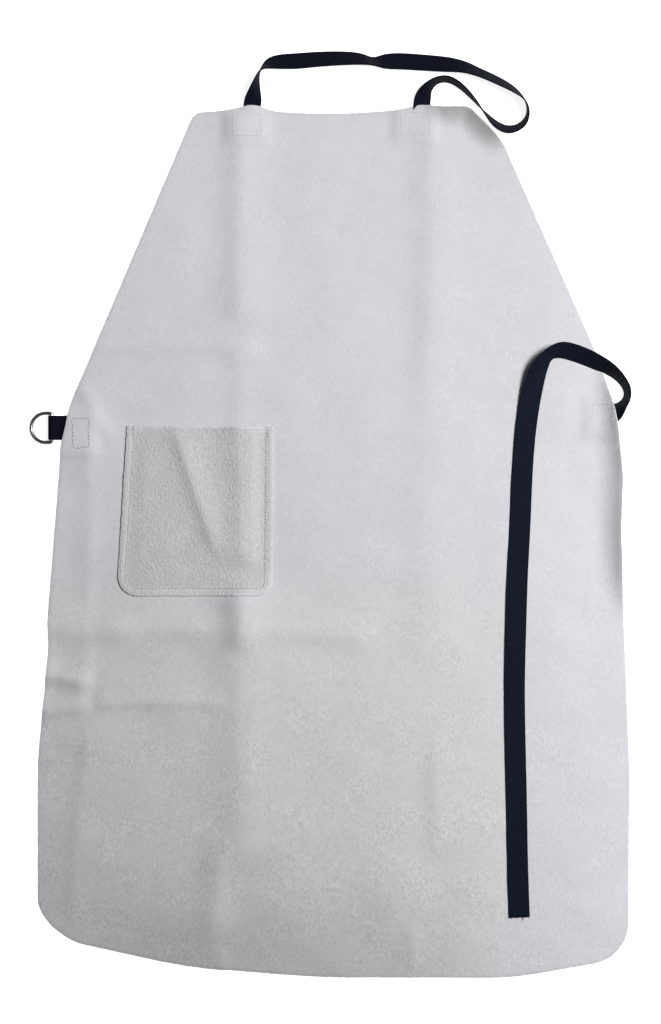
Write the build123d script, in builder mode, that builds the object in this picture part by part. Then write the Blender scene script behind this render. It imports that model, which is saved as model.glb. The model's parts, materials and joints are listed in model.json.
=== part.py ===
from build123d import *
import os
from math import asin, cos, radians, sin, tan

# Split-leather work apron lying flat, face up. Millimetres, +Z up, the ground at z = 0.
# +Y points to the neck and +X to the side of the waist tie. The origin is under the middle
# of the leather and the ring.

# --- stock that the apron is cut from ---
LEATHER = 1.4  # thickness of the split leather
WEBBING = 1.5  # thickness of every strap
NECK_WIDTH = 17.0
TIE_WIDTH = 20.0
TAB_WIDTH = 25.0
THREAD_WIDTH = 0.8
THREAD_RISE = 0.5  # how far a stitch stands above the leather
STITCH_PITCH = 4.0
STITCH_LENGTH = 3.0
POCKET_PITCH = 3.4
POCKET_STITCH = 2.6

# --- the panel as it lies: corners with their rounding, clockwise from the bib's left corner ---
PANEL_CORNERS = [
    (-139, 441, 15),
    (-88, 444, 120),
    (2, 438.5, 600),
    (104, 446, 300),
    (143, 446, 12),
    (179, 410, 40),
    (276, 191, 150),
    (294.5, 133, 200),
    (301.5, 70, 150),
    (299.5, 15, 300),
    (309, -235, 500),
    (308, -428.5, 43),
    (190, -449.5, 300),
    (-10, -449, 800),
    (-150, -438, 500),
    (-262, -413, 60),
    (-286, -397, 40),
    (-300, -377, 30),
    (-300, -225, 300),
    (-288.5, -110, 200),
    (-290, -81, 150),
    (-276, 98, 80),
    (-266, 142, 80),
]
TONGUE_WIDTH = 17.0  # the bib's edge is drawn up over each end of the neck strap
TONGUE_TOP = 449.0
TONGUE_LENGTH = 12.0

# --- strap ends, each sewn between the panel and a patch behind it ---
# centre of the patch, its size, the way the strap leaves, and the webbing layers in between
STRAP_ENDS = {
    "neck_left": ((-84.5, 427.5), (36, 29), (0, 1), 1),
    "neck_right": ((88.5, 429), (36, 30), (0, 1), 1),
    "waist": ((280.5, 127), (27, 34), (1, 0), 1),
    "d_ring": ((-255.5, 111), (24, 37), (-1, 0), 2),
}
EXIT_REACH = 16.0  # how far the raised leather runs on over the strap, past the patch
PAD_SLOPE = 4.0  # how much wider than its rise the slope round a raised patch is
PAD_EASE = 0.5
SEAM_INSET = 3.5
PRISM = 40.0  # tall enough to trim every raised patch

# --- patch pocket ---
POCKET_LEFT_TOP = (-208, 118.5)
POCKET_RIGHT_TOP = (-57, 117.5)
POCKET_LEFT_FOOT = (-218.5, -56.5)
POCKET_RIGHT_FOOT = (-59, -56)
POCKET_FOOT_RADII = (20.0, 15.0)
POCKET_SEAM_INSET = 7.5
POCKET_ROOM = 5.6  # height of the room inside, at its middle
POCKET_BORDER = 13.0  # width sewn down flat
POCKET_SLOPE = 12.0
TACK_COUNT = 3

# --- D-ring and the webbing loop that holds it ---
WIRE_RADIUS = 2.0
RING_HALF = 15.0  # half height of the ring, to the middle of the wire
RING_ARM = 6.3
RING_CORNER = 2.5
LOOP_CLEARANCE = 0.15
LOOP_THROAT = 8.0  # from the bar to where the two layers of the tab meet
LOOP_TIP = 0.1  # half the gap between the layers where they meet
BAR_X = -285.5
BAR_Y = 116.5
BAR_Z = WIRE_RADIUS + LOOP_CLEARANCE + WEBBING + 0.05  # the loop just clears the ground
TAB_END = -245.0
RING_DEPTH = RING_ARM + RING_HALF
RING_LEAN = asin((BAR_Z - WIRE_RADIUS) / RING_DEPTH)  # the bow lies on the ground

# --- straps: the middle line as they lie, with the turn of the webbing about that line ---
# x, y, the height of what the webbing lies on, and the turn: 0 is flat, 90 stands on one edge
SEWN = LEATHER  # the sewn ends lie on their patches
CLEAR = LEATHER + 0.4  # on the panel, clear of its rough face
NECK_ROUTE = [
    (-81.5, 420, SEWN, 0),
    (-80.5, 435, SEWN, 0),
    (-79, 450.5, SEWN, 0),
    (-76.5, 462, 0.3, 38),
    (-74.5, 473, 0, 78),
    (-70, 483.5, 0, 103),
    (-62.5, 491, 0, 128),
    (-50, 494.5, 0, 142),
    (-34, 495.5, 0, 144),
    (-11, 496.8, 0, 144),
    (16.5, 497, 0, 140),
    (40.5, 494, 0, 150),
    (65, 493.6, 0, 165),
    (93.5, 492.4, 0, 166),
    (119, 490.5, 0, 160),
    (137.5, 487.8, 0, 140),
    (155, 481, 0, 120),
    (173, 473, 0, 118),
    (189.5, 464, 0, 110),
    (201.5, 452.5, 0, 95),
    (205, 439, 0, 88),
    (198.5, 426.5, 0, 76),
    (185, 421.5, 0, 66),
    (171.5, 426.3, 0, 70),
    (159.8, 439.5, 0, 84),
    (147.5, 455, 0, 92),
    (134.7, 468, 0, 98),
    (122, 475, 0, 101),
    (110, 473.5, 0, 104),
    (101, 466, 0, 118),
    (95.8, 456, 0.3, 160),
    (95, 443.5, SEWN, 180),
    (95.4, 431, SEWN, 180),
    (95.2, 419, SEWN, 180),
]
TIE_ROUTE = [
    (273, 120, SEWN, 0),
    (285, 125, SEWN, 0),
    (298, 131, SEWN, 0),
    (306.3, 142.5, 0.3, -66),
    (306, 156, 0, -74),
    (298, 168.5, 0.8, -70),
    (286, 178, CLEAR, -58),
    (269.5, 186.5, CLEAR, -47),
    (252, 193.5, CLEAR, -42),
    (237.5, 197, CLEAR, -43),
    (225, 192.5, CLEAR, -60),
    (216, 179.5, CLEAR, -38),
    (210, 162, CLEAR, -15),
    (205, 137, CLEAR, -4),
    (200.8, 104, CLEAR, 0),
    (198, 63, CLEAR, 0),
    (196.3, 16, CLEAR, 0),
    (193.4, -35, CLEAR, 0),
    (191.8, -92, CLEAR, 0),
    (190.2, -153, CLEAR, 0),
    (191.4, -215, CLEAR, 0),
    (192.8, -277, CLEAR, 0),
    (193.6, -333, CLEAR, 0),
    (195.6, -387, CLEAR, 0),
]
ARC_SHARE = 0.45  # share of the shorter run that each bend may take up
SLICES = 4  # sections of webbing in each run


def export(part, name):
    """Label one finished piece and write it to its own file."""
    part.label = name
    export_step(part, f"parts/{name}.step")


def pad_sections(end, base):
    """Foot and top of the sloped block that the panel is raised over, with its foot at base."""
    (x, y), (width, depth), (out_x, out_y), layers = end
    rise = LEATHER + layers * WEBBING
    middle = (x + out_x * EXIT_REACH / 2, y + out_y * EXIT_REACH / 2)
    width = width + abs(out_x) * EXIT_REACH
    depth = depth + abs(out_y) * EXIT_REACH
    foot = 2 * (rise + PAD_SLOPE)
    with BuildSketch(Plane.XY.offset(base)) as low:
        with Locations(middle):
            Rectangle(width + foot, depth + foot)
    with BuildSketch(Plane.XY.offset(base + rise)) as high:
        with Locations(middle):
            Rectangle(width + 2 * PAD_EASE, depth + 2 * PAD_EASE)
    return [low.sketch.face(), high.sketch.face()]


def make_panel():
    """The whole leather sheet, raised over each of its four sewn-on strap ends."""
    points = [(x, y) for x, y, _ in PANEL_CORNERS]
    radii = [radius for _, _, radius in PANEL_CORNERS]
    with BuildSketch() as outline:
        with BuildLine():
            FilletPolyline(*points, radius=radii, close=True)
        make_face()
        for x in (NECK_ROUTE[2][0], NECK_ROUTE[-3][0]):
            with Locations((x, TONGUE_TOP - TONGUE_LENGTH / 2)):
                Rectangle(TONGUE_WIDTH, TONGUE_LENGTH)
    with BuildPart() as panel:
        add(outline.sketch)
        extrude(amount=LEATHER)
        for end in STRAP_ENDS.values():
            loft(pad_sections(end, LEATHER))
        extrude(outline.sketch, amount=PRISM, mode=Mode.INTERSECT)
        for end in STRAP_ENDS.values():
            loft(pad_sections(end, 0), mode=Mode.SUBTRACT)
    return panel.part


def make_patch(end):
    """A rectangle of leather behind one strap end."""
    middle, (width, depth), _, _ = end
    with BuildPart() as patch:
        with BuildSketch():
            with Locations(middle):
                RectangleRounded(width, depth, 2)
        extrude(amount=LEATHER)
    return patch.part


def pocket_outline(inset, overrun=0.0):
    """The pocket's four corners, moved in from its three sewn sides; overrun lengthens the mouth."""
    return [
        (POCKET_LEFT_TOP[0] + inset, POCKET_LEFT_TOP[1] + overrun),
        (POCKET_RIGHT_TOP[0] - inset, POCKET_RIGHT_TOP[1] + overrun),
        (POCKET_RIGHT_FOOT[0] - inset, POCKET_RIGHT_FOOT[1] + inset),
        (POCKET_LEFT_FOOT[0] + inset, POCKET_LEFT_FOOT[1] + inset),
    ]


def crown_sections(base, overrun):
    """Foot and top of the pocket's swell, open at its mouth, with its foot at base."""
    with BuildSketch(Plane.XY.offset(base)) as low:
        Polygon(*pocket_outline(POCKET_BORDER, overrun), align=None)
    with BuildSketch(Plane.XY.offset(base + POCKET_ROOM)) as high:
        Polygon(*pocket_outline(POCKET_BORDER + POCKET_SLOPE, overrun), align=None)
    return [low.sketch.face(), high.sketch.face()]


def make_pocket():
    """The patch pocket: a border sewn flat to the panel and a middle that stands off it."""
    left, right = POCKET_FOOT_RADII
    corners = pocket_outline(0)
    with BuildPart() as pocket:
        with BuildSketch(Plane.XY.offset(LEATHER)):
            with BuildLine():
                FilletPolyline(*corners, radius=[1, 1, right, left], close=True)
            make_face()
        extrude(amount=LEATHER)
        loft(crown_sections(2 * LEATHER, 0))
        loft(crown_sections(LEATHER, 1), mode=Mode.SUBTRACT)
    return pocket.part


def make_stitches(line, height, pitch, length):
    """Separate stitches along a line, each a round-ended length of thread on the leather."""
    count = round(line.length / pitch)
    with BuildPart() as seam:
        with BuildSketch(Plane.XY.offset(height)):
            for step in range(count):
                along = (step + 0.5) * line.length / count
                spot = line.position_at(along, position_mode=PositionMode.LENGTH)
                way = line.tangent_at(along, position_mode=PositionMode.LENGTH)
                turn = Vector(1, 0, 0).get_signed_angle(way, Vector(0, 0, 1))
                with Locations(Location((spot.X, spot.Y, 0), (0, 0, turn))):
                    SlotOverall(length, THREAD_WIDTH)
        extrude(amount=THREAD_RISE)
    return seam.part


def make_pocket_seam():
    """The row of stitches round the pocket's three sewn sides."""
    left_top, right_top, right_foot, left_foot = pocket_outline(POCKET_SEAM_INSET)
    left, right = (radius - POCKET_SEAM_INSET for radius in POCKET_FOOT_RADII)
    with BuildLine() as line:
        FilletPolyline(left_top, left_foot, right_foot, right_top, radius=[left, right])
    return make_stitches(line.wire(), 2 * LEATHER, POCKET_PITCH, POCKET_STITCH)


def make_pocket_tacks():
    """Short back-and-forth stitches that lock the seam at both ends of the pocket's mouth."""
    left_top, right_top, _, _ = pocket_outline(POCKET_SEAM_INSET)
    with BuildPart() as tacks:
        with BuildSketch(Plane.XY.offset(2 * LEATHER)):
            for (x, y), side in ((left_top, 1), (right_top, -1)):
                for step in range(TACK_COUNT):
                    spot = (x - side * 2 * THREAD_WIDTH, y - 2 - step * POCKET_PITCH)
                    with Locations(Location((*spot, 0), (0, 0, 90 + side * 12))):
                        SlotOverall(POCKET_STITCH, THREAD_WIDTH)
        extrude(amount=THREAD_RISE)
    return tacks.part


def make_box_seam(end):
    """The rectangle of stitches that holds one strap end."""
    (x, y), (width, depth), _, layers = end
    half_x = width / 2 - SEAM_INSET
    half_y = depth / 2 - SEAM_INSET
    corners = [(-half_x, -half_y), (half_x, -half_y), (half_x, half_y), (-half_x, half_y)]
    with BuildLine() as line:
        FilletPolyline(*[(x + dx, y + dy) for dx, dy in corners], radius=2, close=True)
    top = 2 * LEATHER + layers * WEBBING
    return make_stitches(line.wire(), top, STITCH_PITCH, STITCH_LENGTH)


def make_tab():
    """Webbing folded round the ring's bar, with both of its layers sewn under the panel."""
    inner = WIRE_RADIUS + LOOP_CLEARANCE
    outer = inner + WEBBING
    throat = BAR_X + LOOP_THROAT
    middle = LEATHER + WEBBING
    side = Plane(origin=(0, BAR_Y, 0), x_dir=(1, 0, 0), z_dir=(0, -1, 0))
    with BuildPart() as tab:
        with BuildSketch(side):
            with BuildLine():
                CenterArc((BAR_X, BAR_Z), outer, 0, 360)
                Line((throat, middle - WEBBING), (throat, middle + WEBBING))
            make_hull()
            with Locations(((throat + TAB_END) / 2, middle)):
                Rectangle(TAB_END - throat, 2 * WEBBING)
        extrude(amount=TAB_WIDTH / 2, both=True)
        with BuildSketch(side):
            with BuildLine():
                CenterArc((BAR_X, BAR_Z), inner, 0, 360)
                Line((throat, middle - LOOP_TIP), (throat, middle + LOOP_TIP))
            make_hull()
        extrude(amount=TAB_WIDTH, both=True, mode=Mode.SUBTRACT)
    return tab.part


def make_ring():
    """The wire D-ring, its bar in the tab and its bow resting on the ground."""
    flat = Plane(
        origin=(BAR_X, BAR_Y, BAR_Z),
        x_dir=(cos(RING_LEAN), 0, sin(RING_LEAN)),
        z_dir=(-sin(RING_LEAN), 0, cos(RING_LEAN)),
    )
    with BuildPart() as ring:
        with BuildLine(flat) as bow:
            FilletPolyline(
                (-RING_ARM, RING_HALF),
                (0, RING_HALF),
                (0, -RING_HALF),
                (-RING_ARM, -RING_HALF),
                radius=RING_CORNER,
            )
            ThreePointArc(
                (-RING_ARM, -RING_HALF), (-RING_DEPTH, 0), (-RING_ARM, RING_HALF)
            )
        with BuildSketch(Plane(origin=bow.wire() @ 0, z_dir=bow.wire() % 0)):
            Circle(WIRE_RADIUS)
        sweep(path=bow.wire())
    return ring.part


def rest_height(width, turn):
    """How high the middle of a strap is over what it lies on, at a turn in degrees."""
    lean = radians(turn)
    return abs(sin(lean)) * width / 2 + abs(cos(lean)) * WEBBING / 2


def make_strap(route, width, name):
    """Flat webbing that follows a route, turned about its own middle line as the route says."""
    points = [Vector(x, y, base + rest_height(width, turn)) for x, y, base, turn in route]
    runs = [(end - start).length for start, end in zip(points, points[1:])]
    radii = []
    for before, here, after in zip(points, points[1:], points[2:]):
        turned = (here - before).get_angle(after - here)
        shorter = min((here - before).length, (after - here).length)
        radii.append(ARC_SHARE * shorter / tan(radians(turned / 2)))
    print(name, "bend radii", [round(radius) for radius in radii])

    with BuildLine() as route_line:
        FilletPolyline(*points, radius=radii)
    line = route_line.wire()
    scale = line.length / sum(runs)
    with BuildPart() as strap:
        passed = 0.0
        for number, run in enumerate(runs):
            _, _, base, turn = route[number]
            _, _, next_base, next_turn = route[number + 1]
            last = number == len(runs) - 1
            for step in range(SLICES + last):
                share = step / SLICES
                along = min((passed + share * run) * scale, line.length)
                spot = line.position_at(along, position_mode=PositionMode.LENGTH)
                way = line.tangent_at(along, position_mode=PositionMode.LENGTH)
                way = Vector(way.X, way.Y, 0).normalized()
                lean = turn + share * (next_turn - turn)
                floor = base + share * (next_base - base)
                low = floor + rest_height(width, lean)
                across = Vector(-way.Y, way.X, 0) * cos(radians(lean))
                across += Vector(0, 0, 1) * sin(radians(lean))
                middle = (spot.X, spot.Y, low)
                with BuildSketch(Plane(origin=middle, x_dir=across, z_dir=way)):
                    Rectangle(width, WEBBING)
            passed += run
        loft(ruled=True)
    share = strap.part.volume / (width * WEBBING * line.length)
    print(name, "length", round(line.length), "volume over section times length", round(share, 3))
    return strap.part


def main():
    """Make every piece of the apron and write it to the parts folder."""
    os.makedirs("parts", exist_ok=True)
    export(make_panel(), "apron_panel")
    export(make_pocket(), "pocket")
    export(make_pocket_seam(), "pocket_seam")
    export(make_pocket_tacks(), "pocket_bar_tacks")
    for name, end in STRAP_ENDS.items():
        export(make_patch(end), f"{name}_patch")
        export(make_box_seam(end), f"{name}_seam")
    export(make_tab(), "d_ring_tab")
    export(make_ring(), "d_ring")
    export(make_strap(NECK_ROUTE, NECK_WIDTH, "neck_strap"), "neck_strap")
    export(make_strap(TIE_ROUTE, TIE_WIDTH, "waist_tie"), "waist_tie")


main()
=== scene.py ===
"""A split-leather work apron lying face up: its finished look, built round the fixed CAD frame."""

import json
import logging
import math
import random
from collections.abc import Mapping, Sequence
from dataclasses import dataclass, field
from enum import Enum
from itertools import combinations

import bmesh
import bpy
import numpy as np
from bpy.types import ID, Material, Mesh, Node, NodeSocket, NodeTree, Object
from mathutils import Matrix, Vector
from mathutils.bvhtree import BVHTree
from mathutils.kdtree import KDTree


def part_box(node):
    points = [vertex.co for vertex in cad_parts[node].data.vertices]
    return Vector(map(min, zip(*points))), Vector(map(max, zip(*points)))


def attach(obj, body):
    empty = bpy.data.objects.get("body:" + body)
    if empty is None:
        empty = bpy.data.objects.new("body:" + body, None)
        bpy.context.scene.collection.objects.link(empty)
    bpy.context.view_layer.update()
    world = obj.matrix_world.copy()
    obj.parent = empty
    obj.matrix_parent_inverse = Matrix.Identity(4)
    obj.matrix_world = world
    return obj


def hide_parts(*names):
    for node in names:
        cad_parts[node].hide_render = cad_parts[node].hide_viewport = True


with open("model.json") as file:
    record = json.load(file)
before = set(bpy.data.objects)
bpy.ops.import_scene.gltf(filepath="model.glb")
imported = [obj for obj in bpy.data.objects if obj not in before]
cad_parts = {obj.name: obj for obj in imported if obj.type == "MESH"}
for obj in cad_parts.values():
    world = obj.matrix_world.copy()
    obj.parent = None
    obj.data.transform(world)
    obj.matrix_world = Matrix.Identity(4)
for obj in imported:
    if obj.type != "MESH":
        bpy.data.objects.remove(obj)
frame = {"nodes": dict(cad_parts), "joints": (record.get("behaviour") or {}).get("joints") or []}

log = logging.getLogger("apron")

MM = 0.001
SHARP_CORNER = 140  # degrees between the two edges that meet
SAME_WAY = 0.999  # cosine above which two edges are one
Colour = tuple[float, float, float]
Point = tuple[float, float]
Row = tuple[float, float, float, float]
Value = NodeSocket | float
Paint = NodeSocket | tuple[float, ...]


class Body(str, Enum):
    """The bodies that pieces ride on."""

    APRON = "apron"
    RING = "d_ring"


class Slot(str, Enum):
    """The record's material slots."""

    PANEL = "split_leather"
    POCKET = "pocket_leather"
    PATCH = "patch_leather"
    THREAD = "thread"
    WEBBING = "webbing"
    STEEL = "ring_steel"


# --- shader nodes


class Graph:
    """Adds and joins the nodes of one shader tree."""

    def __init__(self, tree: NodeTree) -> None:
        """Keep the tree that the nodes go into."""
        self.tree = tree

    def node(self, kind: str, settings: dict | None = None, **inputs) -> Node:
        """Add one node.

        Args:
            kind: Blender's name for the node type.
            settings: the node's own options.
            inputs: a value or a socket for each input, by its name with _ for a space, or _0, _1 by place.

        Returns:
            The new node.
        """
        made = self.tree.nodes.new(kind)
        for key, value in (settings or {}).items():
            setattr(made, key, value)
        return self.feed(made, **inputs)

    def feed(self, node: Node, **inputs) -> Node:
        """Set or join the inputs of a node.

        Args:
            node: the node.
            inputs: a value or a socket for each input, as for a new node.

        Returns:
            The same node.
        """
        for key, value in inputs.items():
            place = int(key[1:]) if key[0] == "_" else key.replace("_", " ")
            if isinstance(value, NodeSocket):
                self.tree.links.new(value, node.inputs[place])
            else:
                node.inputs[place].default_value = value
        return node

    def place(self) -> NodeSocket:
        """Return the place on the piece, in metres."""
        return self.node("ShaderNodeTexCoord").outputs["Object"]

    def marked(self, name: str) -> NodeSocket:
        """Return the number that the mesh keeps under a name."""
        return self.node("ShaderNodeAttribute", {"attribute_name": name}).outputs["Fac"]

    def math(self, operation: str, a: Value, b: Value = 0.0, c: Value = 0.0) -> NodeSocket:
        """Return the answer of one Math node on values or sockets."""
        return self.node("ShaderNodeMath", {"operation": operation}, _0=a, _1=b, _2=c).outputs[0]

    def times(self, a: Value, b: Value) -> NodeSocket:
        """Return the product of two values or sockets."""
        return self.math("MULTIPLY", a, b)

    def spread(
        self, value: NodeSocket, low: float, high: float, to_low: float = 0.0, to_high: float = 1.0
    ) -> NodeSocket:
        """Return a value's range low..high eased to to_low..to_high, and held there beyond it."""
        inputs = {"_0": value, "_1": low, "_2": high, "_3": to_low, "_4": to_high}
        return self.node("ShaderNodeMapRange", {"interpolation_type": "SMOOTHSTEP"}, **inputs).outputs[0]

    def noise(
        self, where: NodeSocket, scale: Value, detail: float, roughness: float = 0.55, swirl: float = 0.0
    ) -> NodeSocket:
        """Return soft noise, its scale given as features in a metre."""
        look = {"Scale": scale, "Detail": detail, "Roughness": roughness, "Distortion": swirl}
        return self.node("ShaderNodeTexNoise", None, Vector=where, **look).outputs[0]

    def blend(self, factor: Value, a: Paint, b: Paint, mode: str = "MIX") -> NodeSocket:
        """Return colour a with the share given by factor of colour b in it."""
        settings = {"data_type": "RGBA", "blend_type": mode}
        return self.node("ShaderNodeMix", settings, _0=factor, _6=a, _7=b).outputs[2]

    def toned(self, colour: Paint, tone: NodeSocket) -> NodeSocket:
        """Return a colour made paler or darker by a tone near 1."""
        grey = self.node("ShaderNodeCombineColor", None, _0=tone, _1=tone, _2=tone).outputs[0]
        return self.blend(1.0, colour, grey, "MULTIPLY")

    def bump(self, height: NodeSocket, strength: float, depth: float) -> NodeSocket:
        """Return the normal of a surface with this relief."""
        return self.node("ShaderNodeBump", None, Strength=strength, Distance=depth, Height=height).outputs[0]

    def use(self, group: NodeTree, **inputs) -> Node:
        """Place a node group with its own values and return its node."""
        return self.node("ShaderNodeGroup", {"node_tree": group}, **inputs)


def make_group(name: str, inputs: dict[str, float], outputs: tuple[str, ...]) -> tuple:
    """Start an effect that several materials use.

    Args:
        name: the group's name.
        inputs: name and usual value of each input.
        outputs: names of its outputs.

    Returns:
        The group, a Graph on it, its input node and its output node.
    """
    group = bpy.data.node_groups.new(name, "ShaderNodeTree")
    for key, value in inputs.items():
        socket = group.interface.new_socket(key, in_out="INPUT", socket_type="NodeSocketFloat")
        socket.default_value = value
    for key in outputs:
        group.interface.new_socket(key, in_out="OUTPUT", socket_type="NodeSocketFloat")
    graph = Graph(group)
    return group, graph, graph.node("NodeGroupInput"), graph.node("NodeGroupOutput")


class Effects:
    """The effects that more than one finish uses, each built once."""

    def __init__(self) -> None:
        """Build them all."""
        self.nap = self.make_nap()
        self.hide = self.make_hide()
        self.weave = self.make_weave()

    @staticmethod
    def make_nap() -> NodeTree:
        """Build the short brushed pile of split leather: a tone near 1 and a height.

        Returns:
            The group.
        """
        usual = {"Scale": 420.0, "Contrast": 0.05, "Coarse": 0.3}
        group, g, given, out = make_group("nap", usual, ("Tone", "Height"))
        where = g.place()
        scale, contrast, coarse = (given.outputs[k] for k in ("Scale", "Contrast", "Coarse"))
        brushed = g.node("ShaderNodeMapping", None, Vector=where, Rotation=(0, 0, 0.5), Scale=(1, 0.62, 1))
        fine = g.noise(brushed.outputs[0], scale, 4, 0.65)
        clump = g.noise(where, g.times(scale, 0.32), 3, 0.6, 0.4)
        cloud = g.noise(where, g.times(scale, 0.07), 2, 0.5)
        both = g.node("ShaderNodeMix", None, _0=coarse, _2=fine, _3=clump).outputs[0]
        centred = g.math("SUBTRACT", both, 0.5)
        strength = g.times(contrast, g.spread(cloud, 0.3, 0.7, 1.0, 2.6))
        g.feed(out, Tone=g.math("MULTIPLY_ADD", centred, g.times(strength, 4.0), 1.0), Height=both)
        return group

    @staticmethod
    def make_hide() -> NodeTree:
        """Build the uneven dyeing of a whole hide: a broad tone near 1 and a mask of small specks.

        Returns:
            The group.
        """
        group, g, given, out = make_group("hide", {"Mottle": 0.05, "Specks": 0.5}, ("Tone", "Specks"))
        where = g.place()
        broad = g.noise(where, 7.0, 2, 0.5, 0.3)
        patches = g.noise(where, 38.0, 4, 0.6, 0.6)
        mixed = g.math("ADD", g.times(broad, 0.5), g.times(patches, 0.5))
        tone = g.math("MULTIPLY_ADD", g.math("SUBTRACT", mixed, 0.5), g.times(given.outputs[0], 4), 1.0)
        cells = g.node("ShaderNodeTexVoronoi", None, Vector=where, Scale=75.0, Randomness=1.0)
        rare = g.node("ShaderNodeSeparateColor", None, _0=cells.outputs["Color"])
        near = g.spread(cells.outputs["Distance"], 0.03, 0.07, 1.0, 0.0)
        chosen = g.math("GREATER_THAN", rare.outputs[0], 0.86)
        g.feed(out, Tone=tone, Specks=g.times(g.times(near, chosen), given.outputs[1]))
        return group

    @staticmethod
    def make_weave() -> NodeTree:
        """Build a plain tape weave on the piece's own UV map: a height and a mask of the gaps.

        Returns:
            The group.
        """
        group, g, given, out = make_group("weave", {"Ribs": 12.0, "Picks": 16.0}, ("Height", "Gaps"))
        uv = g.node("ShaderNodeUVMap", {"uv_map": "weave"}).outputs[0]
        parts = g.node("ShaderNodeSeparateXYZ", None, _0=uv)
        along = g.times(parts.outputs[1], given.outputs["Picks"])
        shift = g.times(g.math("MODULO", g.math("FLOOR", along), 2.0), 0.5)
        across = g.math("MULTIPLY_ADD", parts.outputs[0], given.outputs["Ribs"], shift)
        humps = []
        for value in (across, along):
            side = g.math("MULTIPLY_ADD", g.math("FRACT", value), 2.0, -1.0)
            humps.append(g.math("SUBTRACT", 1.0, g.times(side, side)))
        height = g.math("POWER", g.times(*humps), 0.5)
        g.feed(out, Height=height, Gaps=g.spread(height, 0.25, 0.6, 1.0, 0.0))
        return group


def new_material(name: str) -> tuple[Material, Graph, Node]:
    """Start a material.

    Args:
        name: its name.

    Returns:
        The material, a Graph on its tree and its Principled shader.
    """
    material = bpy.data.materials.new(name)
    material.use_nodes = True
    graph = Graph(material.node_tree)
    return material, graph, material.node_tree.nodes["Principled BSDF"]


@dataclass(frozen=True)
class Suede:
    """Split leather with its rough side out, its dyeing a little uneven over the hide; its colour also
    carries painted light falloff towards the lower left, painted shade along the hem and on a curled corner,
    and a painted highlight on the pocket's border and cut edge.
    """

    name: str
    cool: Colour
    neutral: Colour
    shade: Colour
    # Colour of the painted shade on the curled-up top right corner.
    corner_shade: Colour = (0.39, 0.395, 0.385)
    grain: float = 420.0
    contrast: float = 0.03
    coarse: float = 0.3
    skirt_grain: float = 1.6
    mottle: float = 0.03
    relief: float = 0.35
    depth: float = 0.6 * MM
    roughness: float = 0.92
    gloss: float = 0.18
    sheen: float = 0.12
    # Lean, cross, across and along of a smooth tone darker towards the lower left: partly real uneven
    # dyeing, partly painted light falloff from the upper right.
    dye_and_falloff: tuple[float, float, float, float] = (0.0, 0.0, 0.0, 0.0)
    # Share of painted shade along the middle of the hem.
    hem_shade: float = 0.0
    # How much paler the cut rim is, below 0 darker: on the pocket a painted highlight of its lit border and
    # cut edge, on the panel a little darker.
    rim_tone: float = -0.05

    def dyed_and_shaded(self, g: Graph, x: NodeSocket, y: NodeSocket) -> NodeSocket:
        """Tell how pale the leather is over the hide: a smooth tone, darker towards the lower left, that is
        partly real uneven dyeing and partly painted light falloff from the upper right, times painted shade
        along the middle of the hem.

        Args:
            g: the material's nodes.
            x, y: the place across and along the hide, in metres.

        Returns:
            A tone near 1.
        """
        lean, cross, across, along = self.dye_and_falloff
        # Smooth tone over the hide: partly real dyeing, partly painted light falloff from the upper right.
        tone = g.math("MULTIPLY_ADD", x, lean, 1.0)
        for a, b, share in ((x, y, cross), (x, x, across), (y, y, along)):
            tone = g.math("MULTIPLY_ADD", g.times(a, b), share, tone)
        # Painted shade along the middle of the hem.
        middle = g.times(g.spread(x, 0.20, 0.05), g.spread(x, -0.30, -0.18))
        hem = g.times(g.spread(y, -0.32, -0.43), middle)
        return g.times(tone, g.math("MULTIPLY_ADD", hem, -self.hem_shade, 1.0))

    def material(self, effects: Effects) -> Material:
        """Build it.

        Args:
            effects: the shared effects.

        Returns:
            The material.
        """
        made, g, shader = new_material(self.name)
        place = g.place()
        where = g.node("ShaderNodeSeparateXYZ", None, _0=place)
        x, y = where.outputs[0], where.outputs[1]
        worn = g.times(g.spread(y, 0.12, -0.42), g.spread(x, 0.28, 0.12, 0.25, 1.0))
        contrast = g.math("MULTIPLY_ADD", worn, self.contrast * self.skirt_grain, self.contrast)
        nap = g.use(effects.nap, Scale=self.grain, Contrast=contrast, Coarse=self.coarse)
        hide = g.use(effects.hide, Mottle=self.mottle, Specks=0.55)
        tone = g.times(g.times(nap.outputs["Tone"], hide.outputs["Tone"]), self.dyed_and_shaded(g, x, y))
        # Tone of the cut rim: a painted highlight on the pocket's border and cut edge, a little darker on
        # the panel.
        tone = g.times(tone, g.math("MULTIPLY_ADD", g.marked("rim"), self.rim_tone, 1.0))
        smoked = g.times(g.spread(y, 0.0, -0.09), g.spread(x, 0.24, 0.15))
        drift = g.spread(g.noise(place, 11.0, 2), 0.35, 0.65, -0.15, 0.3)
        warmth = g.math("MAXIMUM", g.math("MULTIPLY_ADD", smoked, 0.85, drift), 0.0)
        base = g.blend(warmth, (*self.cool, 1), (*self.neutral, 1))
        # Painted shade on the curled-up top right corner, greenish grey.
        base = g.blend(g.marked("corner_shade"), base, (*self.corner_shade, 1))
        base = g.blend(hide.outputs["Specks"], base, (*self.shade, 1))
        g.feed(
            shader,
            Base_Color=g.toned(base, tone),
            Roughness=self.roughness,
            Specular_IOR_Level=self.gloss,
            Sheen_Weight=self.sheen,
            Sheen_Roughness=0.6,
            Normal=g.bump(nap.outputs["Height"], self.relief, self.depth),
        )
        return made


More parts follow.
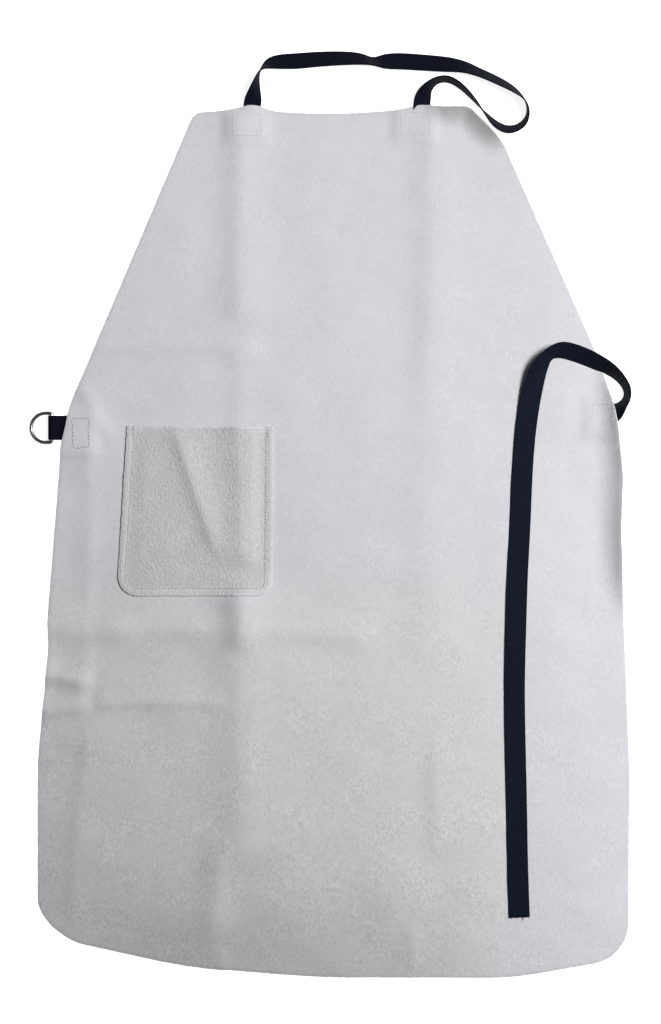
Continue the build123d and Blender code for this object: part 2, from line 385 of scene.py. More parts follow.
@dataclass(frozen=True)
class Tape:
    """Woven strap webbing, with painted shade in the gaps of its weave."""

    name: str
    colour: Colour
    light: Colour
    ribs: float
    picks: float

    def material(self, effects: Effects) -> Material:
        """Build it.

        Args:
            effects: the shared effects.

        Returns:
            The material.
        """
        made, g, shader = new_material(self.name)
        weave = g.use(effects.weave, Ribs=self.ribs, Picks=self.picks)
        nap = g.use(effects.nap, Scale=900.0, Contrast=0.2, Coarse=0.6)
        # Yarn tops take the lighter colour and the gaps between them the deeper one: painted shade in the
        # weave's hollows.
        gap_shaded_yarns = g.blend(weave.outputs["Gaps"], (*self.light, 1), (*self.colour, 1))
        height = weave.outputs["Height"]
        g.feed(
            shader,
            Base_Color=g.toned(gap_shaded_yarns, nap.outputs["Tone"]),
            Roughness=g.spread(height, 0.2, 1.0, 0.9, 0.7),
            Specular_IOR_Level=0.06,
            Normal=g.bump(height, 0.6, 0.3 * MM),
        )
        return made


@dataclass(frozen=True)
class Yarn:
    """Sewing thread, and the needle holes that it goes into, which take a deeper colour as painted shadow.
    """

    name: str
    colour: Colour
    hole_shadow_colour: Colour

    def material(self, effects: Effects) -> Material:
        """Build it.

        Args:
            effects: the shared effects.

        Returns:
            The material.
        """
        made, g, shader = new_material(self.name)
        nap = g.use(effects.nap, Scale=2200.0, Contrast=0.08, Coarse=0.2)
        colour = g.toned((*self.colour, 1), nap.outputs["Tone"])
        # Needle-hole discs and the sinking stitch ends take the hole colour: painted shadow.
        g.feed(shader, Base_Color=g.blend(g.marked("sunk"), colour, (*self.hole_shadow_colour, 1)), Roughness=0.7)
        return made


@dataclass(frozen=True)
class Steel:
    """Plated wire."""

    name: str
    colour: Colour
    dull: Colour

    def material(self) -> Material:
        """Build it.

        Returns:
            The material.
        """
        made, g, shader = new_material(self.name)
        where = g.place()
        smear = g.spread(g.noise(where, 160.0, 4, 0.6, 0.5), 0.35, 0.7)
        g.feed(
            shader,
            Base_Color=g.blend(smear, (*self.colour, 1), (*self.dull, 1)),
            Roughness=g.spread(smear, 0.0, 1.0, 0.26, 0.42),
            Metallic=1.0,
            Normal=g.bump(g.noise(where, 2500.0, 2, 0.5), 0.08, 0.1 * MM),
        )
        return made


# --- how the leather lies


def smooth(value: np.ndarray) -> np.ndarray:
    """Ease from 0 to 1 as the value goes from 0 to 1."""
    held = np.clip(value, 0.0, 1.0)
    return held * held * (3.0 - 2.0 * held)


@dataclass(frozen=True)
class Fold:
    """A long soft ridge. Lengths are millimetres, and left and right are as one walks from start to end."""

    start: Point
    end: Point
    height: float
    left: float
    right: float
    fade: float = 60.0
    wander: float = 0.0
    crest: float = 2.0

    def rise(self, x: np.ndarray, y: np.ndarray) -> np.ndarray:
        """Tell how far the ridge lifts the leather.

        Args:
            x, y: places in millimetres.

        Returns:
            Height at each place, in millimetres.
        """
        way = np.subtract(self.end, self.start)
        length = float(np.hypot(*way))
        unit = way / length
        along = (x - self.start[0]) * unit[0] + (y - self.start[1]) * unit[1]
        aside = (y - self.start[1]) * unit[0] - (x - self.start[0]) * unit[1]
        aside = aside + self.wander * np.sin(along / length * 7.0 + self.start[0])
        flank = np.where(aside > 0, self.left, self.right)
        ends = smooth(along / self.fade) * smooth((length - along) / self.fade)
        return self.height * np.exp(-(np.abs(aside / flank) ** self.crest)) * ends


@dataclass(frozen=True)
class Curl:
    """A stretch of the cut edge that turns up. Lengths are millimetres."""

    middle: Point
    reach: Point
    height: float
    width: float
    lip: float = 1.0
    power: float = 1.8

    def rise(self, x: np.ndarray, y: np.ndarray, edge: np.ndarray) -> np.ndarray:
        """Tell how far the edge lifts.

        Args:
            x, y: places in millimetres.
            edge: distance of each place from the cut edge.

        Returns:
            Height at each place, in millimetres.
        """
        near = np.clip(1.0 - (edge - self.lip) / self.width, 0.0, 1.0)
        return self.height * near**self.power * self.share(x, y)

    def share(self, x: np.ndarray, y: np.ndarray) -> np.ndarray:
        """Return how far each place is inside the curled stretch, from 0 to 1."""
        far = np.hypot((x - self.middle[0]) / self.reach[0], (y - self.middle[1]) / self.reach[1])
        return smooth(1.8 * (1.0 - far))


@dataclass(frozen=True)
class Lie:
    """How a sheet lies: its folds, its curled edges and a light seeded ripple."""

    folds: tuple[Fold, ...]
    curls: tuple[Curl, ...] = ()
    ripple: float = 0.35
    seed: int = 7

    def rise(self, x: np.ndarray, y: np.ndarray, edge: np.ndarray) -> np.ndarray:
        """Add everything up.

        Args:
            x, y: places in metres.
            edge: distance of each place from the cut edge, in metres.

        Returns:
            Height of the sheet above where it would lie flat, in metres and never below 0.
        """
        x, y, edge = (np.asarray(v, float) / MM for v in (x, y, edge))
        total = np.zeros_like(x)
        for fold in self.folds:
            total = total + fold.rise(x, y)
        for curl in self.curls:
            total = total + curl.rise(x, y, edge)
        chance = np.random.default_rng(self.seed)
        for _ in range(40):
            wave, turn, phase = chance.uniform(22, 150), chance.uniform(0, math.pi), chance.uniform(0, 7)
            bend = 0.25 * wave * np.sin((y * math.cos(turn) - x * math.sin(turn)) / (1.7 * wave) + 2 * phase)
            total = total + self.ripple * (wave / 150) * 0.5 * np.sin(
                (x * math.cos(turn) + y * math.sin(turn) + bend) * 2 * math.pi / wave + phase
            )
        return np.maximum(total + 2 * self.ripple, 0.0) * MM


# The curled-up top right corner; it also sets where shade is painted on the panel.
CORNER_CURL = Curl((150, 445), (57, 60), 11.5, 22, 0.0)
PANEL_LIE = Lie(
    folds=(
        Fold((-92, 466), (-91, 205), 5.0, 27, 18, 40, 1.5, 1.7),
        Fold((-93, 215), (-92, 95), 2.6, 20, 15, 30, 1.0, 1.7),
        Fold((-89, -25), (-91, -352), 7.6, 38, 26, 45, 2.0, 1.8),
        Fold((-89, -38), (-93, -122), 5.2, 15, 18, 26, 0.5, 1.8),
        Fold((-108, -296), (-125, -432), 5.2, 17, 18, 44, 0.5, 1.7),
        Fold((84, -392), (88, -446), 1.6, 7, 9, 14, 0.0, 1.6),
        Fold((-113, -415), (-112, -446), 1.8, 8, 9, 10, 0.0, 1.6),
        Fold((108, 466), (102, 110), 3.4, 27, 18, 70, 1.5),
        Fold((101, 170), (103, -150), 1.7, 32, 24, 70, 1.5),
        Fold((112, -190), (110, -335), 3.0, 34, 11, 40, 1.0, 1.6),
        Fold((-264, 203), (-58, 199), 2.3, 22, 10, 30, 1.5, 1.6),
        Fold((-316, -91), (-190, -93), 5.0, 18, 18, 46, 1.0, 1.6),
        Fold((-250, -93), (-96, -90), 5.0, 18, 17, 46, 1.0, 1.6),
        Fold((-116, -91), (62, -97), 3.0, 16, 13, 40, 1.0, 1.6),
        Fold((-306, -135), (-240, -147), 7.0, 15, 10, 17, 0.5, 1.4),
        Fold((-308, -178), (-240, -168), 4.2, 14, 7, 18, 0.5, 1.4),
        Fold((-250, -168), (-100, -166), 2.8, 13, 6, 22, 0.6, 1.3),
        Fold((-249, 125), (-247, -165), 1.4, 9, 12, 50, 2.0, 1.5),
        Fold((-248, -165), (-266, -420), 1.6, 18, 9, 50, 2.0, 1.6),
        Fold((-258, 166), (-222, 98), 2.4, 10, 8, 18, 0.5, 1.6),
    ),
    curls=(
        Curl((303, 60), (60, 148), 14.0, 30, 0.0, 2.6),
        CORNER_CURL,
        Curl((-300, -125), (40, 60), 2.0, 14),
    ),
)
POCKET_LIE = Lie(
    folds=(
        Fold((-165, 134), (-110, -30), 4.6, 14, 10, 45, 0.5, 1.4),
        Fold((-94, 142), (-89, -40), 5.0, 28, 16, 30, 0.0, 1.5),
    ),
    ripple=0.25,
    seed=11,
)


# --- mesh helpers


def only(piece: Object) -> None:
    """Select one piece and nothing else, and make it active.

    Args:
        piece: the piece.
    """
    bpy.ops.object.select_all(action="DESELECT")
    piece.select_set(True)
    bpy.context.view_layer.objects.active = piece


def settle(piece: Object, name: str) -> Object:
    """Name a piece and bring its object to the origin, with its place in its mesh.

    Args:
        piece: the mesh object.
        name: its name and its mesh's.

    Returns:
        The same piece.
    """
    only(piece)
    bpy.ops.object.transform_apply(location=True, rotation=True, scale=True)
    piece.name = piece.data.name = name
    return piece


def add_object(name: str, data: ID, place: Sequence[float] = (0, 0, 0)) -> Object:
    """Put an object with its data in the scene.

    Args:
        name: its name.
        data: its mesh, lamp or camera.
        place: where it stands.

    Returns:
        The new object.
    """
    made = bpy.data.objects.new(name, data)
    made.location = place
    bpy.context.scene.collection.objects.link(made)
    return made


def new_piece(name: str, points: list[Vector], faces: list[tuple[int, ...]]) -> Object:
    """Make a mesh object from its points and faces.

    Args:
        name: its name.
        points: its vertices.
        faces: the places in points of each face's corners.

    Returns:
        The new object.
    """
    mesh = bpy.data.meshes.new(name)
    mesh.from_pydata(points, [], faces)
    return add_object(name, mesh)


def rectangle(low: Vector, high: Vector, height: float) -> Object:
    """Add a flat rectangle.

    Args:
        low: its corner of lowest x and y.
        high: its corner of highest x and y.
        height: how high it lies.

    Returns:
        The new object.
    """
    bpy.ops.object.select_all(action="DESELECT")
    bpy.ops.mesh.primitive_plane_add(size=1.0)
    piece = bpy.context.object
    size, middle = high - low, (high + low) / 2
    stretch = Matrix.Diagonal((size.x, size.y, 1, 1))
    piece.data.transform(Matrix.Translation((middle.x, middle.y, height)) @ stretch)
    return piece


def mark(mesh: Mesh, name: str, values: Sequence[float]) -> None:
    """Keep a number for each vertex in the mesh, under a name that a material reads."""
    attribute = mesh.attributes.new(name, "FLOAT", "POINT")
    attribute.data.foreach_set("value", np.asarray(values, np.float32))


def lay_weave(mesh: Mesh, places: Mapping[int, Point] | Sequence[Point]) -> None:
    """Write the weave's own UV map.

    Args:
        mesh: the strap's mesh.
        places: for each vertex, how far it is across and along the strap, in strap widths.
    """
    layer = mesh.uv_layers.new(name="weave")
    for loop in mesh.loops:
        layer.data[loop.index].uv = places[loop.vertex_index]


def modify(piece: Object, kind: str, **settings) -> None:
    """Add one modifier and apply it.

    Args:
        piece: the mesh object.
        kind: the modifier's type.
        settings: its options.
    """
    only(piece)
    modifier = piece.modifiers.new(kind.lower(), kind)
    for key, value in settings.items():
        setattr(modifier, key, value)
    bpy.ops.object.modifier_apply(modifier=modifier.name)


def thicken(
    piece: Object, name: str, thickness: float, offset: float, rounding: float, soft: float, **solid
) -> None:
    """Give a thin shape its thickness and rounded edges, then settle it and shade it smooth.

    Args:
        piece: the thin mesh object.
        name: the finished piece's name.
        thickness: how thick it gets.
        offset: 1 if it grows upwards, 0 if it grows both ways.
        rounding: how far its sharp edges are rounded.
        soft: the angle in degrees up to which its faces are shaded as one.
        solid: more options of the Solidify modifier.
    """
    modify(piece, "SOLIDIFY", thickness=thickness, offset=offset, **solid)
    modify(piece, "BEVEL", width=rounding, segments=2, limit_method="ANGLE", angle_limit=math.radians(50))
    settle(piece, name)
    bpy.ops.object.shade_smooth_by_angle(angle=math.radians(soft))


def dress(piece: Object, material: Material, slot: Slot, body: Body, *nodes: str) -> None:
    """Give a piece its material, its body and the CAD nodes that it stands for.

    Args:
        piece: the finished piece.
        material: its material.
        slot: the record's slot; not used.
        body: the body it rides on.
        nodes: CAD nodes that it replaces.
    """
    piece.data.materials.clear()
    piece.data.materials.append(material)
    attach(piece, body.value)
    if nodes:
        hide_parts(*nodes)
    log.info("%s: %d faces", piece.name, len(piece.data.polygons))


def tree_of(piece: Object) -> BVHTree:
    """Return a search tree of a mesh object that sits at the origin."""
    mesh = piece.data
    return BVHTree.FromPolygons([v.co for v in mesh.vertices], [tuple(p.vertices) for p in mesh.polygons])


class Plan:
    """A flat CAD node seen from above: where it is solid, how high its top is and where its edge runs."""

    def __init__(self, node: str) -> None:
        """Read the node's mesh.

        Args:
            node: the CAD node's name.
        """
        mesh = frame["nodes"][node].data
        self.solid = tree_of(frame["nodes"][node])
        self.low, self.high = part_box(node)
        walls, faces, self.ways = [], [], {}
        for polygon in mesh.polygons:
            if abs(polygon.normal.z) > 0.2:
                continue
            corners = [mesh.vertices[i].co.xy for i in polygon.vertices]
            a, b = max(combinations(corners, 2), key=lambda pair: (pair[0] - pair[1]).length)
            if (a - b).length < 0.02 * MM:
                continue
            first = len(walls)
            walls += [(*a, -1.0), (*b, -1.0), (*b, 1.0), (*a, 1.0)]
            faces.append(tuple(range(first, first + 4)))
            for here, there in ((a, b), (b, a)):
                key = (round(here.x, 5), round(here.y, 5))
                self.ways.setdefault(key, []).append((there - here).normalized())
        self.edge = BVHTree.FromPolygons(walls, faces)

    def nearest_edge(self, x: float, y: float) -> tuple[Vector, float]:
        """Return the nearest place on the edge and its distance."""
        place, _, _, far = self.edge.find_nearest(Vector((x, y, 0.0)))
        return place, far

    def top(self, x: float, y: float) -> float | None:
        """Return the height of the top at a place, or None off the part."""
        place = self.solid.ray_cast(Vector((x, y, 1.0)), Vector((0, 0, -1)))[0]
        return None if place is None else place.z

    def signed(self, x: float, y: float) -> float:
        """Return the distance from the edge, below 0 off the part."""
        far = self.nearest_edge(x, y)[1]
        return far if self.top(x, y) is not None else -far

    def corners(self) -> list[Vector]:
        """Find the sharp corners of the edge.

        Returns:
            Their places.
        """
        found = []
        for (x, y), ways in self.ways.items():
            for a, b in combinations(ways, 2):
                if math.degrees(a.angle(b, 0.0)) < SHARP_CORNER and a.dot(b) < SAME_WAY:
                    found.append(Vector((x, y, 0.0)))
                    break
        return found


@dataclass
class LeatherSheet:
    """A flat piece of leather cut to a CAD node's plan and laid with folds."""

    name: str
    node: str
    slot: Slot
    lie: Lie
    cell: float = 4.0 * MM
    thickness: float = 1.4 * MM
    crown: float = 1.0
    smoothing: int = 4
    rests_on: tuple[str, ...] = ()
    ragged: float = 0.1 * MM
    rim_width: float = 2.5 * MM
    rounding: float = 0.35 * MM
    corner_shade_area: Curl | None = None
    corner_shade_strength: float = 0.85
    corner_shade_width: float = 24.0 * MM
    plan: Plan = field(init=False)
    piece: Object = field(init=False)
    surface: BVHTree = field(init=False)

    def __post_init__(self) -> None:
        """Read the plan of the CAD node."""
        self.plan = Plan(self.node)

    def cut_out(self) -> Object:
        """Make a grid and trim it to the plan, with its border drawn to the edge and a little ragged.

        Returns:
            The flat mesh object.
        """
        size, middle = self.plan.high - self.plan.low, (self.plan.high + self.plan.low) / 2
        columns, rows = (math.ceil(length / self.cell) + 2 for length in (size.x, size.y))
        bpy.ops.object.select_all(action="DESELECT")
        bpy.ops.mesh.primitive_grid_add(x_subdivisions=columns, y_subdivisions=rows, size=1.0)
        piece = bpy.context.object
        stretch = Matrix.Diagonal((columns * self.cell, rows * self.cell, 1.0, 1.0))
        piece.data.transform(Matrix.Translation((middle.x, middle.y, 0.0)) @ stretch)
        mesh = bmesh.new()
        mesh.from_mesh(piece.data)
        half = 0.5 * self.cell
        dropped = {v for v in mesh.verts if self.plan.signed(v.co.x, v.co.y) < -half}
        for face in list(mesh.faces):
            outside = [loop for loop in face.loops if loop.vert in dropped]
            if len(outside) == 1:
                loop = outside[0]
                bmesh.utils.face_split(face, loop.link_loop_prev.vert, loop.link_loop_next.vert)
        bmesh.ops.delete(mesh, geom=list(dropped), context="VERTS")
        border = [v for v in mesh.verts if v.is_boundary]
        for vertex in border:
            place, _ = self.plan.nearest_edge(vertex.co.x, vertex.co.y)
            vertex.co.x, vertex.co.y = place.x, place.y
        self.trim_corners(border)
        chance = random.Random(self.node)
        for vertex in border:
            vertex.co.x += chance.gauss(0, self.ragged)
            vertex.co.y += chance.gauss(0, self.ragged)
        bmesh.ops.dissolve_degenerate(mesh, dist=0.05 * MM, edges=mesh.edges)
        mesh.normal_update()
        mesh.to_mesh(piece.data)
        mesh.free()
        return piece

    def trim_corners(self, border: list[bmesh.types.BMVert]) -> None:
        """Draw the border to the plan's sharp corners.

        Args:
            border: the vertices of the cut edge.
        """
        for corner in self.plan.corners():
            near = min(border, key=lambda v: (v.co - corner).length_squared)
            if (near.co - corner).length < self.cell:
                near.co = corner

    def rest_height(self, x: float, y: float) -> float:
        """Tell how high the CAD part holds the underside at a place.

        Args:
            x, y: place in metres.

        Returns:
            The height in metres.
        """
        step = 0.7 * MM
        for dx, dy in ((0, 0), (step, 0), (-step, 0), (0, step), (0, -step)):
            top = self.plan.top(x + dx, y + dy)
            if top is not None:
                return top - self.thickness
        return self.plan.low.z

    def extra(self, x: np.ndarray, y: np.ndarray, edge: np.ndarray) -> np.ndarray:
        """Return more height that one kind of sheet has, which is none here."""
        return np.zeros_like(x)

    def rim_of(self, x: np.ndarray, y: np.ndarray, edge: np.ndarray) -> np.ndarray:
        """Return how far each place belongs to the rim of the cut, whose tone the material shifts, from 0 to
        1.
        """
        return np.exp(-((edge / self.rim_width) ** 4))

    def drape(self) -> None:
        """Raise the flat mesh to where the leather lies."""
        mesh = self.piece.data
        flat = np.empty(len(mesh.vertices) * 3)
        mesh.vertices.foreach_get("co", flat)
        flat = flat.reshape(-1, 3)
        height = np.array([self.rest_height(x, y) for x, y in flat[:, :2]])
        floor = self.plan.low.z
        height = floor + (height - floor) * self.crown
        edges = np.empty(len(mesh.edges) * 2, int)
        mesh.edges.foreach_get("vertices", edges)
        a, b = edges.reshape(-1, 2).T
        count = np.bincount(np.r_[a, b], minlength=len(flat))
        for _ in range(self.smoothing):
            total = np.bincount(a, height[b], len(flat)) + np.bincount(b, height[a], len(flat))
            height = 0.5 * height + 0.5 * total / np.maximum(count, 1)
        edge = np.array([self.plan.nearest_edge(x, y)[1] for x, y in flat[:, :2]])
        flat[:, 2] = height + self.lie.rise(flat[:, 0], flat[:, 1], edge) + self.extra(*flat[:, :2].T, edge)
        mesh.vertices.foreach_set("co", flat.ravel())
        mark(mesh, "rim", self.rim_of(*flat[:, :2].T, edge))
        # Mark where shade is painted on the curled-up corner, deepest at the cut edge.
        if self.corner_shade_area:
            deep = smooth(1.0 - edge / self.corner_shade_width)
            mark(mesh, "corner_shade", self.corner_shade_strength * deep * self.corner_shade_area.share(*flat[:, :2].T / MM))
        mesh.update()

    def build(self, material: Material) -> None:
        """Make the piece and dress it.

        Args:
            material: its finish.
        """
        self.piece = self.cut_out()
        self.drape()
        thicken(self.piece, self.name, self.thickness, 1.0, self.rounding, 60, use_even_offset=True)
        self.surface = tree_of(self.piece)
        dress(self.piece, material, self.slot, Body.APRON, self.node)
        size, area = self.plan.high - self.plan.low, self.flat_area()

    def flat_area(self) -> float:
        """Add up the area of the cut from the CAD node's underside.

        Returns:
            The area in square metres.
        """
        under = (p for p in frame["nodes"][self.node].data.polygons if p.normal.z < -0.2)
        total = sum(polygon.area * abs(polygon.normal.z) for polygon in under)
        size = self.plan.high - self.plan.low
        return min(total, size.x * size.y)

    def skin(self, x: float, y: float) -> tuple[Vector, Vector]:
        """Find the finished upper surface at a place.

        Args:
            x, y: place in metres.

        Returns:
            The surface's point and normal there.
        """
        place, normal, _, _ = self.surface.ray_cast(Vector((x, y, 1.0)), Vector((0, 0, -1)))
        if place is None:
            place, normal, _, _ = self.surface.find_nearest(Vector((x, y, self.plan.high.z)))
        return place, normal


@dataclass
class Panel(LeatherSheet):
    """The apron's panel, whose edge is drawn up a little over each end of the neck strap."""

    tongue_reach: float = 15.0 * MM
    rounds: int = 14

    def trim_corners(self, border: list[bmesh.types.BMVert]) -> None:
        """Ease the plan's sharp tongues into the edge.

        Args:
            border: the vertices of the cut edge.
        """
        corners = self.plan.corners()
        near = [v for v in border if min((v.co - c).length for c in corners) < self.tongue_reach]
        for _ in range(self.rounds):
            moved = {}
            for vertex in near:
                sides = [e.other_vert(vertex) for e in vertex.link_edges if e.is_boundary]
                moved[vertex] = 0.5 * vertex.co + 0.5 * sum((v.co for v in sides), Vector()) / len(sides)
            for vertex, place in moved.items():
                vertex.co = place


@dataclass
class Pocket(LeatherSheet):
    """The patch pocket, which lies on the panel and is drawn down along its seam."""

    panel_lie: Lie = PANEL_LIE
    panel_plan: Plan | None = None
    seam: str = "pocket_seam"
    border: float = 7.5 * MM
    puff: float = 0.8 * MM
    groove: float = 0.15 * MM
    groove_width: float = 1.5 * MM
    held: float = 2.0 * MM
    freed: float = 14.0 * MM
    gap: float = 0.1 * MM
    # How much more the cut edge itself is lightened than the border: painted highlight.
    cut_edge_highlight: float = 2.4

    def seam_distance(self, x: np.ndarray, y: np.ndarray) -> np.ndarray:
        """Measure how far the stitches are.

        Args:
            x, y: places in metres.

        Returns:
            The distance from each place to the nearest stitch, in metres.
        """
        spots = [centre for centre, _, _ in stitches_of(self.seam)]
        tree = KDTree(len(spots))
        for index, spot in enumerate(spots):
            tree.insert((spot.x, spot.y, 0.0), index)
        tree.balance()
        return np.array([tree.find((px, py, 0.0))[2] for px, py in zip(x, y)])

    def rim_of(self, x: np.ndarray, y: np.ndarray, edge: np.ndarray) -> np.ndarray:
        """Return 1 on the border outside the seam, more on the cut edge itself and 0 inside: where the
        material paints a highlight of the lit, puffed border and cut edge.
        """
        outside = self.by_seam(self.seam_distance(x, y)) * (edge < self.border)
        return np.maximum(outside, self.cut_edge_highlight * super().rim_of(x, y, edge))

    def by_seam(self, line: np.ndarray) -> np.ndarray:
        """Return 1 within the border's width of the seam, fading to 0 further in."""
        return smooth((self.border + self.groove_width - line) / (2 * MM))

    def extra(self, x: np.ndarray, y: np.ndarray, edge: np.ndarray) -> np.ndarray:
        """Add the panel's own folds under the pocket, its puffed border and the groove of its seam.

        Args:
            x, y: places in metres.
            edge: distances from the pocket's edge in metres.

        Returns:
            The added height in metres.
        """
        line = self.seam_distance(x, y)
        far = np.array([self.panel_plan.nearest_edge(px, py)[1] for px, py in zip(x, y)])
        below = self.panel_lie.rise(x, y, far)
        loose = smooth((line - self.held) / self.freed)
        own = self.lie.rise(x, y, edge)
        band = np.clip(edge / self.border, 0.0, 1.0)
        puffed = self.puff * np.sin(math.pi * band) * self.by_seam(line)
        sunk = self.groove * np.exp(-((line / self.groove_width) ** 2))
        return below - own + own * loose + puffed - sunk + self.gap


def stitches_of(node: str) -> list[tuple[Vector, Vector, float]]:
    """Find the separate stitches of a CAD seam.

    Args:
        node: the seam's name.

    Returns:
        The middle, the direction and the length of each.
    """
    mesh = bmesh.new()
    mesh.from_mesh(frame["nodes"][node].data)
    bmesh.ops.remove_doubles(mesh, verts=mesh.verts, dist=0.001 * MM)
    found, seen = [], set()
    for start in mesh.verts:
        if start in seen:
            continue
        island, queue = [], [start]
        seen.add(start)
        while queue:
            vertex = queue.pop()
            island.append(vertex.co.copy())
            for edge in vertex.link_edges:
                other = edge.other_vert(vertex)
                if other not in seen:
                    seen.add(other)
                    queue.append(other)
        a, b = max(combinations(island[:: max(1, len(island) // 24)], 2), key=lambda p: (p[0] - p[1]).length)
        centre = sum(island, Vector()) / len(island)
        way = (b - a).xy.to_3d().normalized()
        spots = np.array([(p - centre).dot(way) for p in island])
        found.append((centre, way, float(np.ptp(spots))))
    mesh.free()
    return found


# --- sewing


@dataclass
class Seam:
    """A row of stitches in two-ply thread, each with its two needle holes drawn as flat discs of painted
    shadow.

    A stitch's ply, taper, arch and sink are in thread radii, and its twist is in half turns.
    """

    name: str
    node: str
    sheet: LeatherSheet
    radius: float = 0.34 * MM
    hole: float = 0.62 * MM
    slant: float = 0.07
    drift: float = 0.0
    sides: int = 6
    rings: int = 7
    twist: float = 2.2
    ply: float = 0.22
    taper: float = 0.38
    arch: float = 0.9
    sink: float = 0.35

    def stitch(self) -> list[Vector]:
        """Shape one stitch, one unit long, arched and twisted, as rings of points.

        Returns:
            The points, ring by ring. x runs along, and y and z are in thread radii.
        """
        bpy.ops.object.select_all(action="DESELECT")
        bpy.ops.mesh.primitive_cylinder_add(
            vertices=self.sides, radius=1.0, depth=1.0, end_fill_type="NOTHING", rotation=(0, math.pi / 2, 0)
        )
        rod = settle(bpy.context.object, "stitch")
        for step in range(1, self.rings - 1):
            bpy.ops.object.mode_set(mode="EDIT")
            bpy.ops.mesh.select_all(action="SELECT")
            place = step / (self.rings - 1) - 0.5
            bpy.ops.mesh.bisect(plane_co=(place, 0, 0), plane_no=(1, 0, 0))
            bpy.ops.object.mode_set(mode="OBJECT")
        points = sorted(
            (v.co.copy() for v in rod.data.vertices),
            key=lambda p: (round(p.x, 3), round(math.atan2(p.z, p.y), 3)),
        )
        bpy.data.objects.remove(rod)
        shaped = []
        for point in points:
            turn = self.twist * math.pi * point.x
            arch = 1.0 - (2 * point.x) ** 2
            angle = math.atan2(point.z, point.y)
            radius = (0.82 + self.ply * math.cos(2 * (angle - turn))) * (1.0 - self.taper * (1.0 - arch))
            up = radius * math.sin(angle) + self.arch * arch - self.sink
            shaped.append(Vector((point.x, radius * math.cos(angle), up)))
        return shaped

    def build(self, material: Material) -> None:
        """Copy the stitch along the seam, on the finished leather.

        Args:
            material: the thread's finish.
        """
        shape = self.stitch()
        chance = random.Random(self.node)
        points, faces, sunk = [], [], []
        for centre, way, length in stitches_of(self.node):
            way = Matrix.Rotation(chance.uniform(-self.slant, self.slant), 3, "Z") @ way
            centre = centre + Vector((chance.gauss(0, self.drift), chance.gauss(0, self.drift), 0))
            ends = [self.sheet.skin(*(centre + way * side * length / 2).xy)[0] for side in (-1, 1)]
            normal = self.sheet.skin(*centre.xy)[1]
            along = ends[1] - ends[0]
            middle = (ends[0] + ends[1]) / 2
            over = normal.cross(along).normalized()
            up = along.cross(over).normalized()
            radius = self.radius * chance.uniform(0.9, 1.1)
            first = len(points)
            points += [middle + along * p.x + over * p.y * radius + up * p.z * radius for p in shape]
            # The stitch ends take the hole colour where they sink into the leather: painted shade.
            sunk += [max(0.0, abs(2 * p.x) - 0.85) * 4 for p in shape]
            for ring in range(self.rings - 1):
                for side in range(self.sides):
                    a = first + ring * self.sides + side
                    b = first + ring * self.sides + (side + 1) % self.sides
                    faces.append((a, b, b + self.sides, a + self.sides))
            # Each needle hole is a flat disc just above the leather, coloured as painted shadow.
            for end in ends:
                lip = len(points)
                for step in range(self.sides):
                    angle = step / self.sides * 2 * math.pi
                    spot = end + (along.normalized() * math.cos(angle) + over * math.sin(angle)) * self.hole
                    points.append(spot + up * 0.05 * MM)
                faces.append(tuple(range(lip, lip + self.sides)))
                sunk += [1.0] * self.sides
        piece = new_piece(self.name, points, faces)
        # Share of the hole colour at each vertex: painted shadow.
        mark(piece.data, "sunk", sunk)
        settle(piece, self.name)
        bpy.ops.object.shade_smooth()
        dress(piece, material, Slot.THREAD, Body.APRON, self.node)


# --- straps


WEB_ROUNDING = 0.4 * MM
SEWN = 1.4
CLEAR = 1.8
NECK_ROUTE: tuple[Row, ...] = (
    (-81.5, 420, SEWN, 0), (-80.5, 435, SEWN, 0), (-79, 450.5, SEWN, 0), (-77, 459, 0.3, 42),
    (-75.3, 468, 0, 66), (-73.2, 477.5, 0, 86), (-69.8, 485, 0, 100), (-61.5, 491, 0, 138),
    (-50, 493, 0, 155), (-34, 493.6, 0, 162), (-11, 495.6, 0, 157), (14, 496.4, 0, 150),
    (32, 495.6, 0, 140), (45, 492.2, 0, 120), (60, 493.4, 0, 162), (74, 493.8, 0, 168),
    (93.5, 492.4, 0, 166), (119, 490.5, 0, 160), (137.5, 487.8, 0, 140), (155, 481, 0, 126),
    (173, 473, 0, 125), (189.5, 464, 0, 117), (202, 453, 0, 98), (205, 439, 0, 86), (199, 427, 0, 66),
    (185, 421.5, 0, 54), (171.5, 426.3, 0, 58), (159.8, 439.5, 0, 78), (147.5, 455, 0, 92),
    (134.7, 468, 0, 98), (122, 475, 0, 101), (110, 473.5, 0, 104), (101, 466, 0, 118),
    (95.8, 456, 0.3, 160), (95, 443.5, SEWN, 180), (95.4, 431, SEWN, 180), (95.2, 419, SEWN, 180),
)
TIE_ROUTE: tuple[Row, ...] = (
    (273, 120, SEWN, 0), (284, 125.6, SEWN, 0), (292, 132, SEWN, -22), (299.5, 138, 0.3, -66),
    (305.9, 146.5, 0.3, -78), (306, 157, 0, -77), (298, 168.5, 0.8, -71), (286, 178, CLEAR, -58),
    (269.5, 186.5, CLEAR, -47), (252, 193.5, CLEAR, -42), (237.5, 197, CLEAR, -43),
    (225, 192.5, CLEAR, -60), (216, 179.5, CLEAR, -38), (210, 162, CLEAR, -15), (205, 137, CLEAR, -4),
    (200.8, 104, CLEAR, 0), (198, 63, CLEAR, 0), (196.3, 16, CLEAR, 0), (193.4, -35, CLEAR, 0),
    (191.8, -92, CLEAR, 0), (190.2, -153, CLEAR, 0), (191.4, -215, CLEAR, 0), (192.8, -277, CLEAR, 0),
    (193.6, -333, CLEAR, 0), (195.6, -387, CLEAR, 0),
)


